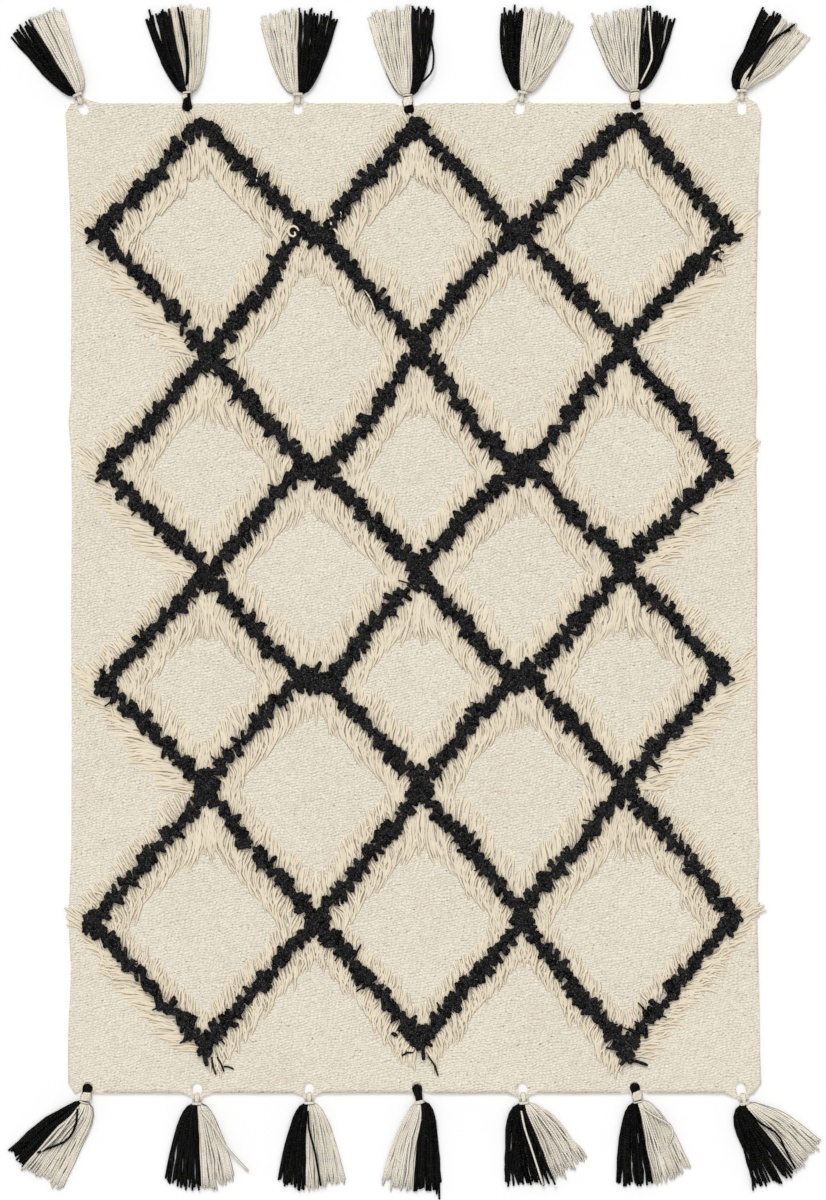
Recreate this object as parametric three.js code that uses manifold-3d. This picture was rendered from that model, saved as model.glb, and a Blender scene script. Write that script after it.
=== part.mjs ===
// A flat-woven wool rug with a raised diamond lattice, lying flat, +Z up, in millimetres.
// The cream ground carries combed cream pile and, on it, a charcoal lattice of shaggy tufts.
// Seven two-colour tassels hang from eyelets in each end hem and lie on the floor.

import * as THREE from 'three';
import { mergeVertices } from 'three/addons/utils/BufferGeometryUtils.js';
import Module from 'manifold-3d';

const wasm = await Module();
wasm.setup();

// Body of the rug
const BODY_WIDTH = 1200;
const BODY_LENGTH = 1728;
const CLOTH_THICKNESS = 4;
const PIECE_GAP = 0.3;
const EDGE_WAVER = 1.2;
const WAVER_SERIES = 11;

// Cream pile: a lumpy slab on the ground, with locks at its rim
const CREAM = {
  locks: 3,
  bottom: CLOTH_THICKNESS + PIECE_GAP,
  top: 8.5,
  lump: 1.1,
  crown: 0.74,
  tipReach: 57,
  notchReach: 43,
  reachSpread: 5,
  slant: 0.42,
  overrun: 14,
};

// Charcoal pile: a ragged ridge along the middle of the cream pile
const CHARCOAL = {
  locks: 4,
  bottom: CREAM.top + PIECE_GAP,
  top: 15,
  lump: 2.4,
  crown: 0.5,
  tipReach: 19,
  notchReach: 11,
  crossingReach: 23,
  reachSpread: 3,
  slant: 0.25,
  overrun: 11,
};

// The pile reaches a little past the side edges and stops short of the end hems
const PILE_LIMIT_X = BODY_WIDTH / 2 + 9;
const PILE_LIMIT_Y = BODY_LENGTH / 2 - 17;
const PILE_EYELET_MARGIN = 3;
const CUT_HEIGHT = 60;

// Crossings of the lattice, a row for each line of them from the top end, in millimetres
// from the middle of the rug
const LATTICE_ROWS = [
  { x: [-369, 4, 375], y: [827, 834, 837] },
  { x: [-549, -176, 181, 549], y: [640, 638, 642, 636] },
  { x: [-354, 6, 364], y: [425, 441, 448] },
  { x: [-537, -174, 188, 539], y: [224, 226, 226, 228] },
  { x: [-361, 8, 368], y: [44, 51, 56] },
  { x: [-539, -176, 186, 539], y: [-148, -141, -136, -129] },
  { x: [-364, 11, 369], y: [-330, -328, -328] },
  { x: [-570, -172, 190, 558], y: [-569, -562, -555, -552] },
  { x: [-364, 11, 368], y: [-780, -768, -784] },
];

// How far each side edge strays outwards from its straight line, by place along the rug
const SIDE_EDGES = [
  { y: 846, left: 8, right: 7 },
  { y: 792, left: 5, right: 4 },
  { y: 730, left: 2, right: 2 },
  { y: 610, left: -2, right: 0 },
  { y: 425, left: -2, right: -3 },
  { y: 364, left: -3, right: 0 },
  { y: 303, left: 2, right: -3 },
  { y: 240, left: -3, right: -2 },
  { y: 60, left: -3, right: 0 },
  { y: -130, left: -3, right: 0 },
  { y: -370, left: -3, right: 1 },
  { y: -430, left: -3, right: 4 },
  { y: -553, left: 2, right: 0 },
  { y: -640, left: -2, right: 2 },
  { y: -737, left: 2, right: 4 },
  { y: -846, left: 3, right: 7 },
];

// Tassels: where the neck and the eyelet are, the colour on the left and the colour of the
// loop that goes through the eyelet
const TASSELS = [
  { name: 'top_1', x: -587, y: 880, eyeletX: -572, first: 'black', loop: 'cream' },
  { name: 'top_2', x: -395, y: 883, eyeletX: -395, first: 'black', loop: 'black' },
  { name: 'top_3', x: -202, y: 881, eyeletX: -202, first: 'cream', loop: 'cream' },
  { name: 'top_4', x: -10, y: 878, eyeletX: -7, first: 'cream', loop: 'black' },
  { name: 'top_5', x: 191, y: 884, eyeletX: 183, first: 'black', loop: 'cream' },
  { name: 'top_6', x: 386, y: 886, eyeletX: 389, first: 'cream', loop: 'black' },
  { name: 'top_7', x: 573, y: 887, eyeletX: 573, first: 'black', loop: 'cream' },
  { name: 'bottom_1', x: -575, y: -880, eyeletX: -566, first: 'cream', loop: 'black' },
  { name: 'bottom_2', x: -378, y: -883, eyeletX: -378, first: 'cream', loop: 'cream' },
  { name: 'bottom_3', x: -182, y: -882, eyeletX: -183, first: 'cream', loop: 'cream' },
  { name: 'bottom_4', x: 11, y: -881, eyeletX: 4, first: 'black', loop: 'black' },
  { name: 'bottom_5', x: 193, y: -882, eyeletX: 189, first: 'cream', loop: 'cream' },
  { name: 'bottom_6', x: 392, y: -879, eyeletX: 384, first: 'cream', loop: 'black' },
  { name: 'bottom_7', x: 579, y: -883, eyeletX: 568, first: 'cream', loop: 'cream' },
];

// Fan of each tassel, in the same order: the compass bearings between which the yarns lie,
// clockwise from the top end, their length, and the share of the fan that the left takes
const FANS = [
  { from: -49, to: -10, reach: 154, share: 0.42 },
  { from: -30, to: 14, reach: 150, share: 0.43 },
  { from: -27, to: 28, reach: 147, share: 0.5 },
  { from: -27, to: 18, reach: 154, share: 0.66 },
  { from: -15, to: 37, reach: 145, share: 0.3 },
  { from: -34, to: 30, reach: 145, share: 0.6 },
  { from: 14, to: 54, reach: 147, share: 0.38 },
  { from: 194, to: 238, reach: 154, share: 0.67 },
  { from: 153, to: 203, reach: 147, share: 0.48 },
  { from: 155, to: 202, reach: 148, share: 0.58 },
  { from: 165, to: 206, reach: 155, share: 0.47 },
  { from: 131, to: 194, reach: 143, share: 0.45 },
  { from: 140, to: 196, reach: 147, share: 0.53 },
  { from: 116, to: 173, reach: 147, share: 0.48 },
];

// Shape of a tassel, along its own line outwards from the neck
const NECK_HALF = 8.7;
const FAN_SWELL = 0.45;
const BEND_SHARE = 0.28;
const LOCKS_PER_TASSEL = 15;
const LOCKS_AT_LEAST = 2;
const LOCK_GAP = 0.13;
const LOCK_TIP_HEIGHT = 7;
const LOCK_TIP_SPREAD = 1;
const LENGTH_SPREAD = 0.05;
const SPLIT_GAP = 0.4;
const SIDE_DROP = 0.5;

// Height of the tassel's head at shares of its length
const HEAD = [
  { share: 0.03, height: 13 },
  { share: 0.1, height: 17 },
  { share: 0.24, height: 16 },
  { share: 0.42, height: 12 },
];

// Knot at the neck: its length outwards from the ear for each colour of loop
const KNOT_LENGTH = { cream: 7, black: 13 };
const KNOT = { halfWidth: 9.6, height: 12.6, wall: 2.1, floor: 1.6, end: 0.8 };
const NECK = { halfWidth: 7, bottom: 1.95, top: 9.4, end: 1.2 };
const KNOT_SECTION = [
  { across: -1, up: 0 },
  { across: -1, up: 0.75 },
  { across: -0.7, up: 1 },
  { across: 0.7, up: 1 },
  { across: 1, up: 0.75 },
  { across: 1, up: 0 },
];

// Eyelet in the drawn-out hem, and the loop through it
const EAR_HALF_WIDTH = 8;
const EAR_SHOULDER = 2.5;
const EAR_FLARE = 26;
const EAR_GAP = 0.5;
const STRIP_WIDTH = 6.5;
const EYELET_RADIUS = 8.5;
const EYELET_DEPTH = 20;
const EYELET_STEPS = 5;
const LOOP = {
  cream: { width: 7, drop: 3 },
  black: { width: 9, drop: 9 },
};
const LOOP_OUTER_DROP = 3;
const LOOP_CLEARANCE = 2.4;
const LOOP_Z = { bottom: 0.2, underStrip: 1.8, groove: 2.3, overStrip: 4.3, top: 7.4 };
const LOOP_CHAMFER = 0.9;
const GROOVE_MARGIN = 1;

const UP = new THREE.Vector3(0, 0, 1);

// Distances under which two corners count as one
const SAME_POINT = 0.0001;
const SAME_PLACE = 0.01;

const MATERIALS = {
  ground: new THREE.MeshStandardMaterial({ color: 0xe0d8c5, roughness: 0.95, metalness: 0 }),
  cream: new THREE.MeshStandardMaterial({ color: 0xd9d0bc, roughness: 0.9, metalness: 0 }),
  black: new THREE.MeshStandardMaterial({ color: 0x1c1b1b, roughness: 0.9, metalness: 0 }),
};

// A number between -size and +size, from the seeded series
function waver(size) {
  return size * (2 * THREE.MathUtils.seededRandom() - 1);
}

// Whether the volume inside a closed mesh comes out positive
function pointsOutwards(geometry) {
  const corner = [new THREE.Vector3(), new THREE.Vector3(), new THREE.Vector3()];
  const { position } = geometry.attributes;
  let volume = 0;
  for (let i = 0; i < geometry.index.count; i += 3) {
    corner.forEach((point, k) => point.fromBufferAttribute(position, geometry.index.getX(i + k)));
    volume += corner[0].dot(corner[1].cross(corner[2]));
  }
  return volume > 0;
}

// Closed body through sections that have the same number of points each
function loft(sections) {
  const sides = sections[0].length;
  const geometry = new THREE.CylinderGeometry(1, 1, 1, sides, sections.length - 1);
  const places = sections.flatMap((section) => [...section, section[0]]);
  for (const end of [sections[0], sections[sections.length - 1]]) {
    const middle = end.reduce((sum, point) => sum.add(point), new THREE.Vector3()).divideScalar(sides);
    places.push(...end.map(() => middle), ...end, end[0]);
  }
  geometry.setFromPoints(places);
  return geometry;
}

function solid(geometry) {
  const bare = geometry.clone();
  bare.deleteAttribute('normal');
  bare.deleteAttribute('uv');
  const merged = mergeVertices(bare, SAME_POINT);
  const triVerts = Uint32Array.from(merged.index.array);
  if (!pointsOutwards(merged)) {
    triVerts.reverse();
  }
  const vertProperties = Float32Array.from(merged.attributes.position.array);
  return new wasm.Manifold(new wasm.Mesh({ numProp: 3, vertProperties, triVerts }));
}

function fused(geometries) {
  return geometries.map(solid).reduce((whole, piece) => whole.add(piece));
}

function meshOf(name, manifold, material) {
  const { vertProperties, triVerts } = manifold.getMesh();
  const geometry = new THREE.BufferGeometry();
  geometry.setAttribute('position', new THREE.BufferAttribute(vertProperties, 3));
  geometry.setIndex(new THREE.BufferAttribute(triVerts, 1));
  geometry.computeVertexNormals();
  const mesh = new THREE.Mesh(geometry, material);
  mesh.name = name;
  return mesh;
}

function raised(point, z) {
  return new THREE.Vector3(point.x, point.y, z);
}

// Unit vector of a compass bearing, and the one to its right
function outwards(bearing) {
  return new THREE.Vector2(Math.sin(bearing), Math.cos(bearing));
}

function rightOf(direction) {
  return new THREE.Vector2(direction.y, -direction.x);
}

// Joins a tassel's two rows and adds what follows from them: its end of the rug, the line
// from the eyelet to the neck, and its fan's middle and half-width
function tasselPlan(place, k) {
  const row = { ...place, ...FANS[k] };
  const end = Math.sign(row.y);
  const neck = new THREE.Vector2(row.x, row.y);
  const eyeletFoot = new THREE.Vector2(row.eyeletX, end * (BODY_LENGTH / 2 - EYELET_DEPTH));
  const line = neck.clone().sub(eyeletFoot);
  const knotLength = KNOT_LENGTH[row.loop];
  const lineBearing = Math.atan2(line.x, line.y);
  return {
    ...row,
    end,
    neck,
    out: line.clone().normalize(),
    knotLength,
    lineBearing: lineBearing + (lineBearing < -Math.PI / 2 ? 2 * Math.PI : 0),
    eyeletLength: line.length() - knotLength - STRIP_WIDTH,
    bearing: THREE.MathUtils.degToRad((row.from + row.to) / 2),
    halfFan: THREE.MathUtils.degToRad((row.to - row.from) / 2),
    split: 2 * row.share - 1,
    second: row.first === 'black' ? 'cream' : 'black',
  };
}

// Point on the line from eyelet to neck: outwards from the neck, and to the right of it
function neckPoint(tassel, along, across) {
  return tassel.neck.clone()
    .addScaledVector(tassel.out, along)
    .addScaledVector(rightOf(tassel.out), across);
}

// Point in the fan: across from -1 to 1, share of the length from 0 to 1. The yarns leave
// the neck in its own line and bend round into the fan.
function fanPoint(tassel, across, share, reach = tassel.reach) {
  const turn = across * tassel.halfFan;
  const narrow = NECK_HALF * across;
  const bend = Math.min(share / BEND_SHARE, 1);
  const middle = outwards(THREE.MathUtils.lerp(tassel.lineBearing, tassel.bearing, bend));
  return tassel.neck.clone()
    .addScaledVector(middle, reach * Math.cos(turn) * share)
    .addScaledVector(rightOf(middle), narrow + (reach * Math.sin(turn) - narrow) * share ** FAN_SWELL);
}

function eyeletPoints(tassel, margin) {
  const radius = EYELET_RADIUS + margin;
  const outer = -(tassel.knotLength + STRIP_WIDTH + EYELET_RADIUS);
  const inner = outer - Math.max(tassel.eyeletLength - 2 * EYELET_RADIUS, 0);
  const points = [];
  for (const [middle, start] of [[outer, 0], [inner, Math.PI]]) {
    for (let k = 0; k < EYELET_STEPS; k += 1) {
      const angle = start + Math.PI * k / (EYELET_STEPS - 1);
      points.push(neckPoint(tassel, middle + radius * Math.sin(angle), radius * Math.cos(angle)));
    }
  }
  return points;
}

// The hem is drawn out to an ear at each tassel, which ends at the tassel's knot
function earPoints(tassel) {
  const hem = tassel.end * BODY_LENGTH / 2;
  const tip = -tassel.knotLength;
  const middle = tassel.eyeletX;
  const left = -tassel.end;
  const points = [new THREE.Vector2(middle - EAR_FLARE, hem)];
  for (const side of [left, -left]) {
    const corner = neckPoint(tassel, tip, side * EAR_HALF_WIDTH);
    const shoulder = neckPoint(tassel, tip - STRIP_WIDTH, side * (EAR_HALF_WIDTH + EAR_SHOULDER));
    points.push(...(side === left ? [shoulder, corner] : [corner, shoulder]));
  }
  points.push(new THREE.Vector2(middle + EAR_FLARE, hem));
  return points;
}

function hemPoints(tassels) {
  const points = [];
  tassels.forEach((tassel, k) => {
    points.push(...earPoints(tassel));
    const next = tassels[k + 1];
    if (next) {
      const middle = (tassel.eyeletX + next.eyeletX) / 2;
      points.push(new THREE.Vector2(middle, tassel.end * (BODY_LENGTH / 2 + waver(EDGE_WAVER))));
    }
  });
  return points;
}

// Side edge from the top end down, with a small waver between the rows of the table
function sidePoints(column, sign) {
  const points = [];
  SIDE_EDGES.forEach((row, k) => {
    const x = BODY_WIDTH / 2 + row[column];
    points.push(new THREE.Vector2(sign * x, row.y));
    const next = SIDE_EDGES[k + 1];
    if (next) {
      const middle = (x + BODY_WIDTH / 2 + next[column]) / 2 + waver(EDGE_WAVER);
      points.push(new THREE.Vector2(sign * middle, (row.y + next.y) / 2));
    }
  });
  return points;
}

function groundCloth(tassels) {
  const top = tassels.filter((tassel) => tassel.end > 0);
  const bottom = tassels.filter((tassel) => tassel.end < 0);
  const outline = new THREE.Shape([
    ...hemPoints(top),
    ...sidePoints('right', 1),
    ...hemPoints(bottom).reverse(),
    ...sidePoints('left', -1).reverse(),
  ]);
  outline.holes = tassels.map((tassel) => new THREE.Path(eyeletPoints(tassel, 0)));
  const sheet = solid(new THREE.ExtrudeGeometry(outline, { depth: CLOTH_THICKNESS, bevelEnabled: false }));
  return tassels.map(loopGroove).reduce((cloth, groove) => cloth.subtract(groove), sheet);
}

// Stands a side view of the loop, outwards and up, upright on the tassel's line
function standing(geometry, tassel, width) {
  const out = raised(tassel.out, 0);
  const frame = new THREE.Matrix4().makeBasis(out, UP, out.clone().cross(UP));
  frame.setPosition(raised(tassel.neck, 0));
  return geometry.translate(0, 0, -width / 2).applyMatrix4(frame);
}

// Room under the strip of hem between eyelet and edge, for the loop's lower run
function loopGroove(tassel) {
  const length = STRIP_WIDTH + 2 * LOOP_CLEARANCE + 2 * GROOVE_MARGIN;
  const width = LOOP[tassel.loop].width + 2 * GROOVE_MARGIN;
  const groove = new THREE.BoxGeometry(length, 2 * LOOP_Z.groove, width);
  groove.translate(-tassel.knotLength - STRIP_WIDTH / 2, 0, width / 2);
  return solid(standing(groove, tassel, width));
}

function loopRing(tassel) {
  const { width, drop } = LOOP[tassel.loop];
  const near = -tassel.knotLength + EAR_GAP;
  const far = -tassel.knotLength - STRIP_WIDTH - LOOP_CLEARANCE;
  const start = near + LOOP_OUTER_DROP;
  const finish = far - drop;
  const side = new THREE.Shape();
  side.moveTo(start, LOOP_Z.bottom);
  side.lineTo(start, LOOP_Z.top);
  side.lineTo(finish + LOOP_CHAMFER, LOOP_Z.top);
  side.lineTo(finish, LOOP_Z.top - LOOP_CHAMFER);
  side.lineTo(finish, LOOP_Z.bottom + LOOP_CHAMFER);
  side.lineTo(finish + LOOP_CHAMFER, LOOP_Z.bottom);
  const strip = new THREE.Path();
  strip.moveTo(near, LOOP_Z.underStrip);
  strip.lineTo(far, LOOP_Z.underStrip);
  strip.lineTo(far, LOOP_Z.overStrip);
  strip.lineTo(near, LOOP_Z.overStrip);
  side.holes = [strip];
  const ring = new THREE.ExtrudeGeometry(side, { depth: width, bevelEnabled: false });
  return standing(ring, tassel, width);
}

// The knot's cord is wound round the neck
function knot(tassel) {
  const { halfWidth, height, wall, floor, end } = KNOT;
  const start = -tassel.knotLength + EAR_GAP + LOOP_OUTER_DROP + PIECE_GAP;
  const tube = (from, to, reach, bottom, top) => loft([from, to].map((along) => (
    KNOT_SECTION.map(({ across, up }) => (
      raised(neckPoint(tassel, along, across * reach), bottom + up * (top - bottom))
    ))
  )));
  const outer = tube(start, end, halfWidth, 0, height);
  const inner = tube(start - wall, end + wall, halfWidth - wall, floor, height - wall);
  return solid(outer).subtract(solid(inner));
}

// Slab whose plan is the given rows' places, each with its own bottom and top height
function slab(rows) {
  const shape = new THREE.Shape(rows.map(({ place }) => place));
  const geometry = new THREE.ExtrudeGeometry(shape, { depth: 1, bevelEnabled: false });
  const { position } = geometry.attributes;
  const corner = new THREE.Vector2();
  for (let i = 0; i < position.count; i += 1) {
    corner.fromBufferAttribute(position, i);
    const row = rows.find(({ place }) => place.distanceTo(corner) < SAME_PLACE);
    position.setZ(i, position.getZ(i) > 0 ? row.top : row.bottom);
  }
  return geometry;
}

// One edge of a colour's neck, outwards from its start inside the knot
function neckEdge(tassel, across, shift, start) {
  const top = NECK.bottom + (NECK.top - NECK.bottom) * (1 - SIDE_DROP * across * across);
  const rows = [start, NECK.end].map((along) => ({
    place: neckPoint(tassel, along, across * NECK.halfWidth + shift),
    bottom: NECK.bottom,
    top,
  }));
  return [...rows, { ...headEdge(tassel, across, shift)[1], bottom: NECK.bottom, top }];
}

// One edge of a colour's head, outwards from the neck
function headEdge(tassel, across, shift) {
  const drop = 1 - SIDE_DROP * across * across;
  const right = rightOf(outwards(tassel.bearing));
  const rows = [{
    place: neckPoint(tassel, NECK.end, across * NECK.halfWidth + shift),
    bottom: 0,
    top: NECK.top * drop + NECK.bottom,
  }];
  for (const { share, height } of HEAD) {
    const place = fanPoint(tassel, across, share).addScaledVector(right, shift);
    rows.push({ place, bottom: 0, top: height * drop });
  }
  return rows;
}

// Tips of one colour's locks, and the roots of the gaps between them
function lockRows(tassel, from, to) {
  const { share, height } = HEAD[HEAD.length - 1];
  const count = Math.max(Math.round(LOCKS_PER_TASSEL * (to - from) / 2), LOCKS_AT_LEAST);
  const pitch = (to - from) / count;
  const rows = [];
  for (let k = 0; k < count; k += 1) {
    const start = from + k * pitch;
    const reach = tassel.reach * (1 + waver(LENGTH_SPREAD));
    const top = LOCK_TIP_HEIGHT + waver(LOCK_TIP_SPREAD);
    if (k > 0) {
      const drop = 1 - SIDE_DROP * start * start;
      rows.push({ place: fanPoint(tassel, start, share), bottom: 0, top: height * drop });
    }
    for (const across of [start + LOCK_GAP * pitch, start + (1 - LOCK_GAP) * pitch]) {
      rows.push({ place: fanPoint(tassel, across, 1, reach), bottom: 0, top });
    }
  }
  return rows;
}

function tasselHalf(tassel, side) {
  const colour = side < 0 ? tassel.first : tassel.second;
  const ownsLoop = colour === tassel.loop;
  const start = -tassel.knotLength + EAR_GAP + (ownsLoop ? 0 : LOOP_OUTER_DROP + PIECE_GAP);
  const [from, to] = side < 0 ? [-1, tassel.split] : [tassel.split, 1];
  const fromShift = side < 0 ? 0 : SPLIT_GAP / 2;
  const toShift = side < 0 ? -SPLIT_GAP / 2 : 0;
  const neck = slab([
    ...neckEdge(tassel, from, fromShift, start),
    ...neckEdge(tassel, to, toShift, start).reverse(),
  ]);
  const head = slab([
    ...headEdge(tassel, from, fromShift),
    ...lockRows(tassel, from, to),
    ...headEdge(tassel, to, toShift).reverse(),
  ]);
  const pieces = [neck, head];
  if (ownsLoop) {
    pieces.push(loopRing(tassel));
  }
  return meshOf(`tassel_${tassel.name}_${colour}`, fused(pieces), MATERIALS[colour]);
}

// Lines of the lattice: each runs on from row to row, always to the right or always to the
// left, until it comes out at the lattice's edge
function latticeLines() {
  const lines = [];
  const follow = (row, column, step) => {
    const line = [];
    while (row < LATTICE_ROWS.length && column >= 0 && column < LATTICE_ROWS[row].x.length) {
      line.push(new THREE.Vector2(LATTICE_ROWS[row].x[column], LATTICE_ROWS[row].y[column]));
      const wide = LATTICE_ROWS[row].x.length === 4;
      column += (step + (wide ? -1 : 1)) / 2;
      row += 1;
    }
    return line;
  };
  LATTICE_ROWS.forEach(({ x }, row) => {
    const starts = row === 0 ? [0, 1, 2] : [];
    if (x.length === 4) {
      lines.push(follow(row, 0, 1), follow(row, 3, -1));
    }
    starts.forEach((column) => lines.push(follow(row, column, 1), follow(row, column, -1)));
  });
  return lines;
}

// Sections along one line: locks point out to the left and right in turn, and slant
// towards the rug's length
function lineSections(line, pile, sectionAt) {
  const steps = 2 * pile.locks;
  const last = (line.length - 1) * steps;
  const sections = [];
  for (let k = 0; k <= last; k += 1) {
    const arm = Math.min(Math.floor(k / steps), line.length - 2);
    const share = k / steps - arm;
    const direction = line[arm + 1].clone().sub(line[arm]).normalize();
    const across = rightOf(direction);
    const overrun = (k === last ? pile.overrun : 0) - (k === 0 ? pile.overrun : 0);
    const middle = line[arm].clone().lerp(line[arm + 1], share).addScaledVector(direction, overrun);
    const reachOf = (side) => {
      const atTip = (k + (side > 0 ? 1 : 0)) % 2 === 0;
      let reach = atTip ? pile.tipReach : pile.notchReach;
      if (k % steps === 0 && pile.crossingReach) {
        reach = pile.crossingReach;
      }
      return reach + waver(pile.reachSpread);
    };
    const place = (side, distance) => {
      const lengthways = Math.sign(side * across.y * direction.y);
      return middle.clone()
        .addScaledVector(across, side * distance)
        .addScaledVector(direction, lengthways * pile.slant * distance * Math.abs(across.x));
    };
    sections.push(sectionAt(place, reachOf(-1), reachOf(1)));
  }
  return sections;
}

// One line of pile: wide at the foot, narrower on top, and lumpy
function pileLine(line, form) {
  return loft(lineSections(line, form, (place, left, right) => {
    const top = form.top - Math.abs(waver(form.lump));
    return [
      raised(place(-1, left), form.bottom),
      raised(place(-1, left * form.crown), top),
      raised(place(1, right * form.crown), top),
      raised(place(1, right), form.bottom),
    ];
  }));
}

// The lattice in one piece, kept clear of the eyelets
function pile(form, tassels) {
  const limits = new THREE.BoxGeometry(2 * PILE_LIMIT_X, 2 * PILE_LIMIT_Y, CUT_HEIGHT);
  const whole = fused(latticeLines().map((line) => pileLine(line, form))).intersect(solid(limits));
  return tassels.reduce((rest, tassel) => {
    const hole = new THREE.Shape(eyeletPoints(tassel, PILE_EYELET_MARGIN));
    return rest.subtract(solid(new THREE.ExtrudeGeometry(hole, { depth: CUT_HEIGHT, bevelEnabled: false })));
  }, whole);
}

function buildRug() {
  const rug = new THREE.Group();
  const tassels = TASSELS.map(tasselPlan);
  THREE.MathUtils.seededRandom(WAVER_SERIES);
  rug.add(meshOf('ground_cloth', groundCloth(tassels), MATERIALS.ground));
  rug.add(meshOf('pile_cream', pile(CREAM, tassels), MATERIALS.cream));
  rug.add(meshOf('pile_black', pile(CHARCOAL, tassels), MATERIALS.black));
  for (const tassel of tassels) {
    rug.add(tasselHalf(tassel, -1), tasselHalf(tassel, 1));
    rug.add(meshOf(`tassel_${tassel.name}_knot`, knot(tassel), MATERIALS.cream));
  }
  const box = new THREE.Box3().setFromObject(rug);
  const middle = box.getCenter(new THREE.Vector3());
  rug.position.set(-middle.x, -middle.y, -box.min.z);
  return rug;
}

export default buildRug();
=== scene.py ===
# A flat-woven wool rug lying flat on a floor, +Z up, in metres. A woven cream ground carries
# combed cream pile and a charcoal lattice of shaggy tufts. Seven two-colour tassels are
# looped through eyelets in each end hem and lie on the floor.
import math

import bmesh
import bpy
import numpy as np
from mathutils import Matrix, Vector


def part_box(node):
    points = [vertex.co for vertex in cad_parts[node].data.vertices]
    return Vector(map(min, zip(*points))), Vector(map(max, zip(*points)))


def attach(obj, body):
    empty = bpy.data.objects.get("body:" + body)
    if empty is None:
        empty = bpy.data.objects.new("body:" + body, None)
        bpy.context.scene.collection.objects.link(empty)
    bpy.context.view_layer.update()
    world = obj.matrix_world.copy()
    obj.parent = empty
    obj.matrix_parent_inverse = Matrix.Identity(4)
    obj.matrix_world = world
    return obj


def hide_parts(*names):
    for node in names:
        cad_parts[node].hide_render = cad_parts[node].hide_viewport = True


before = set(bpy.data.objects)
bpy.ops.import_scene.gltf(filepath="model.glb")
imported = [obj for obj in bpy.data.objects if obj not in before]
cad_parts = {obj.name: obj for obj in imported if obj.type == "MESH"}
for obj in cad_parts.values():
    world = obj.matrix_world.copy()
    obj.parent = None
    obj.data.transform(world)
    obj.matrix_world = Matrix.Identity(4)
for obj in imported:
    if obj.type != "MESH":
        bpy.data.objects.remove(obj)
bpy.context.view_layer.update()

MM = 0.001
FULL_TURN = 2 * math.pi
rng = np.random.default_rng(41)

# The woven body's length and thickness, how far in from its ends the eyelets lie, the strip of
# hem that a loop goes over, and how long a neck is by the colour of its loop; in millimetres,
# like every size here that doesn't end in _M
BODY_LENGTH = 1728
CLOTH = 4.0
EYELET_DEPTH = 20
STRIP = 6.5
KNOT_LENGTH = {"cream": 7, "black": 13}

# The ground's left edge and the pile's upper edge in the drawing that the sizes come from
DRAWN_EDGES_M = (-0.608, 0.847)

# Heights that tell the cloth's top and bottom apart, and how far its cutter reaches
UNDER_TOP_M = 0.0039
OVER_FLOOR_M = 0.0001
CUTTER_REACH_M = 0.03

# The blank that the ground is cut from, and its grid
BLANK_M = (1.3, 1.9)
BLANK_CELLS = (152, 222)

# Low broad swells of the weave: how many, how tall, and how close, in radians to a metre
SWELLS = 14
SWELL_HEIGHT_M = 0.00007
SWELL_CLOSENESS = (40, 110)

# Crossings of the lattice, a row for each line of them from the top end
LATTICE_ROWS = [
    dict(x=[-369, 4, 375], y=[827, 834, 837]),
    dict(x=[-549, -176, 181, 549], y=[640, 638, 642, 636]),
    dict(x=[-354, 6, 364], y=[425, 441, 448]),
    dict(x=[-537, -174, 188, 539], y=[224, 226, 226, 228]),
    dict(x=[-361, 8, 368], y=[44, 51, 56]),
    dict(x=[-539, -176, 186, 539], y=[-148, -141, -136, -129]),
    dict(x=[-364, 11, 369], y=[-330, -328, -328]),
    dict(x=[-562, -172, 190, 558], y=[-569, -562, -555, -552]),
    dict(x=[-364, 11, 368], y=[-780, -768, -784]),
]

# How far each arm bows to its left of the straight line between its crossings, seen from its
# upper end, at four places along it; a row for each band of arms
BOW_PLACES = (0.23, 0.41, 0.59, 0.77)
ARM_BOWS = [
    [
        (-3, 5, 2, -1), (0, -1, -1, -2), (5, 9, 7, 13),
        (-5, -2, 0, -7), (-2, 1, 4, 5), (4, 1, 3, 2),
    ],
    [
        (-2, 1, 2, 1), (-17, -1, -6, -4), (6, 4, 5, 4),
        (-3, -9, -8, -3), (2, 2, 0, 2), (0, 0, 0, 0),
    ],
    [
        (-1, 1, 5, -2), (-3, -7, -6, -6), (10, 16, 20, 17),
        (-3, -9, -12, -11), (6, 3, 11, 9), (0, 0, 3, 0),
    ],
    [
        (1, -1, 3, 3), (-14, -11, -8, 0), (4, 6, 6, 2),
        (-5, -9, -4, -3), (13, 3, 4, 5), (1, -3, 2, -2),
    ],
    [
        (1, 0, 1, -1), (-5, -7, -17, -10), (10, 8, 13, 20),
        (-8, -7, -9, -14), (5, 4, 10, 8), (-3, 1, 0, -2),
    ],
    [
        (0, 4, 1, 3), (-17, -15, -11, -8), (14, 11, 9, 8),
        (-6, -9, -4, -5), (10, 12, 10, 2), (0, -1, -2, -2),
    ],
    [
        (7, 3, 4, -1), (0, -6, -2, 1), (5, 2, 5, 1),
        (-3, 3, 2, 2), (-2, 5, -2, -6), (0, 3, 3, -2),
    ],
    [
        (2, 0, -2, 1), (1, 1, 0, 1), (0, -3, 3, -1),
        (7, 6, 2, 5), (-4, -3, -5, 0), (2, 2, 1, 0),
    ],
]

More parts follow.
